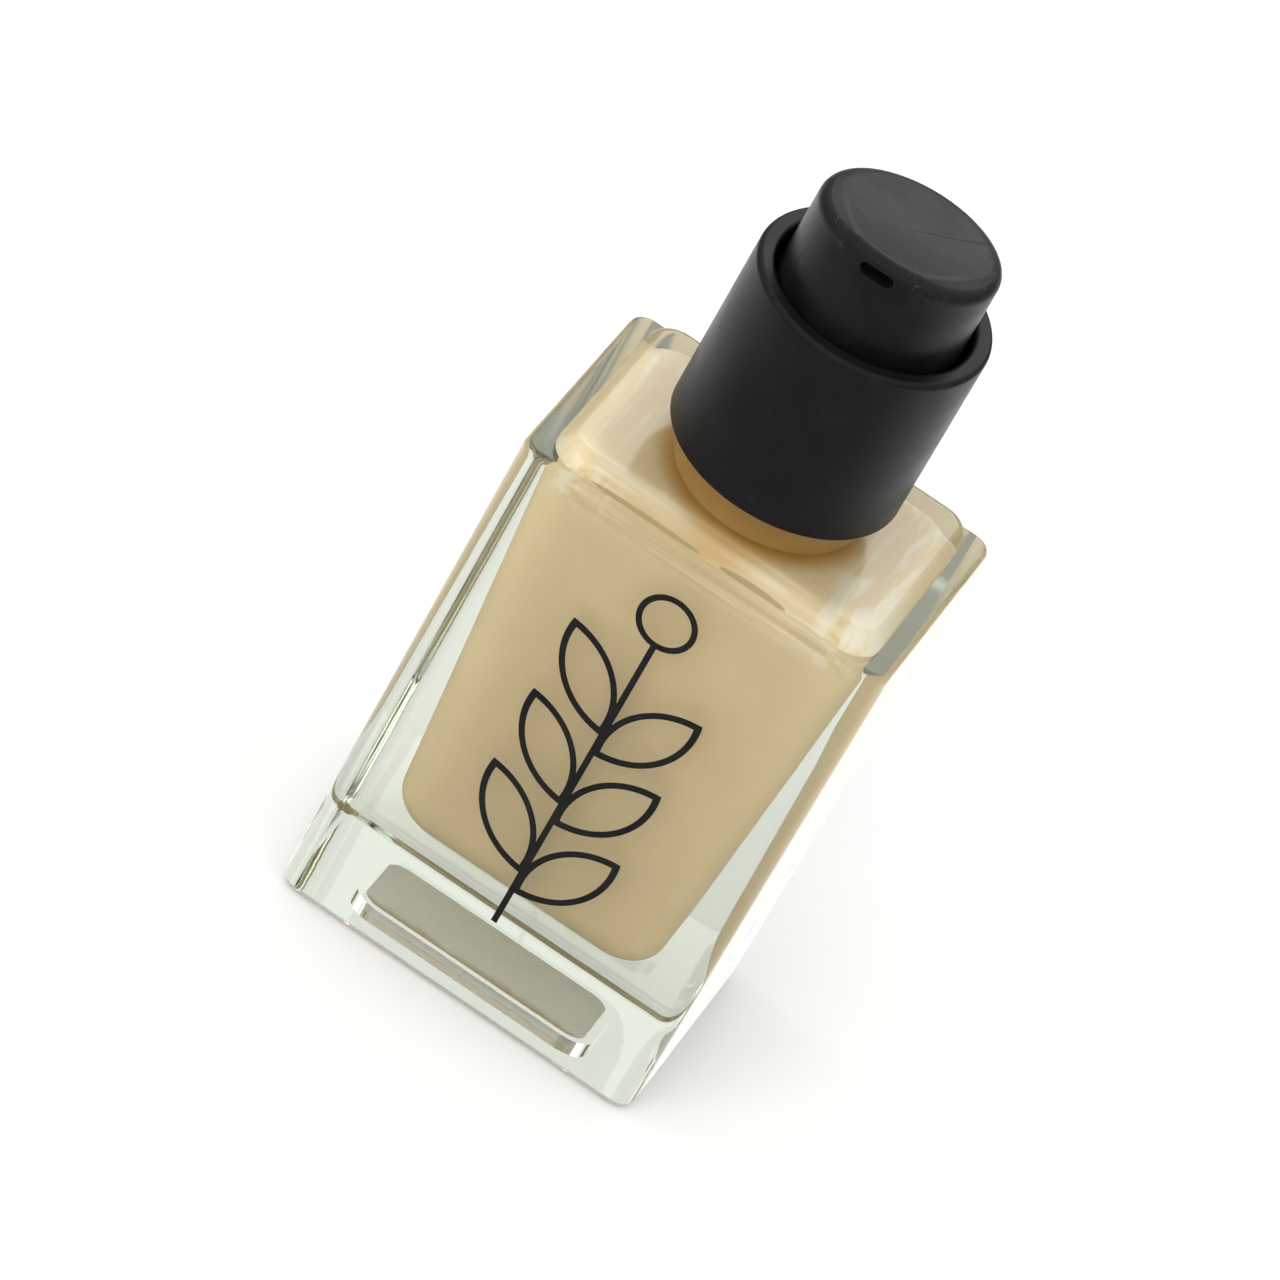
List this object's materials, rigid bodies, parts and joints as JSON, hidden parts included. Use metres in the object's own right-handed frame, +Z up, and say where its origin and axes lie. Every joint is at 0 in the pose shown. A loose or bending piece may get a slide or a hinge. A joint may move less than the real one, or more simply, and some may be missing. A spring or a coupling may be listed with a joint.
{
  "type": "foundation bottle",
  "caption": "Rectangular glass foundation bottle with a screw-on dispensing pump, black collar and press-down head.",
  "frame": {"origin": "centre of the base, on the plane it stands on", "axes": "+Z up along the neck, -Y out of the printed front face, +X to the right seen from the front"},
  "size_m": [0.04, 0.0278, 0.0954],
  "materials": {
    "clear_glass": "clear polished flint glass with a faint green tint",
    "foundation": "opaque creamy liquid, wet where it meets the glass",
    "print_ink": "screen-printed black ink",
    "label": "blank matt paper",
    "gasket_foam": "closed-cell polyethylene foam",
    "natural_plastic": "natural polypropylene",
    "steel_ball": "polished stainless steel",
    "spring_steel": "drawn stainless wire",
    "white_plastic": "white polypropylene",
    "seal_plastic": "soft polyethylene",
    "black_closure": "moulded black polypropylene",
    "black_collar": "satin black, fine moulded texture",
    "black_head": "semi-gloss black with light handling marks",
    "black_core": "glossy black"
  },
  "bodies": {
    "bottle": {"glass_bottle": "clear_glass", "foundation_fill": "foundation", "front_print": "print_ink", "base_label": "label"},
    "pump_body": {"pump_housing": "natural_plastic", "housing_cap": "natural_plastic", "neck_gasket": "gasket_foam", "dip_tube": "natural_plastic", "return_spring": "spring_steel"},
    "inlet_valve": {"inlet_ball": "steel_ball"},
    "closure": {"screw_closure": "black_closure", "collar_shell": "black_collar"},
    "plunger": {"stem": "white_plastic", "piston_rod": "white_plastic"},
    "piston": {"piston_seal": "seal_plastic"},
    "head": {"actuator_shell": "black_head", "actuator_core": "black_core"}
  },
  "joints": [
    {"name": "pump_lift", "type": "slide", "parent": "bottle", "child": "pump_body", "axis": [0, 0, 1], "range_m": [0, 0.0036]},
    {"name": "closure_unscrew", "type": "hinge", "parent": "pump_body", "child": "closure", "pos_m": [0, 0, 0.07], "axis": [0, 0, 1], "range_deg": [0, 390]},
    {"name": "actuator_press", "type": "slide", "parent": "pump_body", "child": "plunger", "axis": [0, 0, -1], "range_m": [0, 0.0042], "stiffness_N_per_m": 900, "springref_m": -0.004, "deforming": ["return_spring"]},
    {"name": "actuator_turn", "type": "hinge", "parent": "plunger", "child": "head", "pos_m": [0, 0, 0.088], "axis": [0, 0, 1], "continuous": true},
    {"name": "outlet_valve", "type": "slide", "parent": "plunger", "child": "piston", "axis": [0, 0, 1], "range_m": [0, 0.0008]},
    {"name": "inlet_valve_lift", "type": "slide", "parent": "pump_body", "child": "inlet_valve", "axis": [0, 0, 1], "range_m": [0, 0.001]}
  ],
  "couplings": [
    {"joint": "pump_lift", "follows": "closure_unscrew", "m_per_rad": 0.00050532}
  ]
}
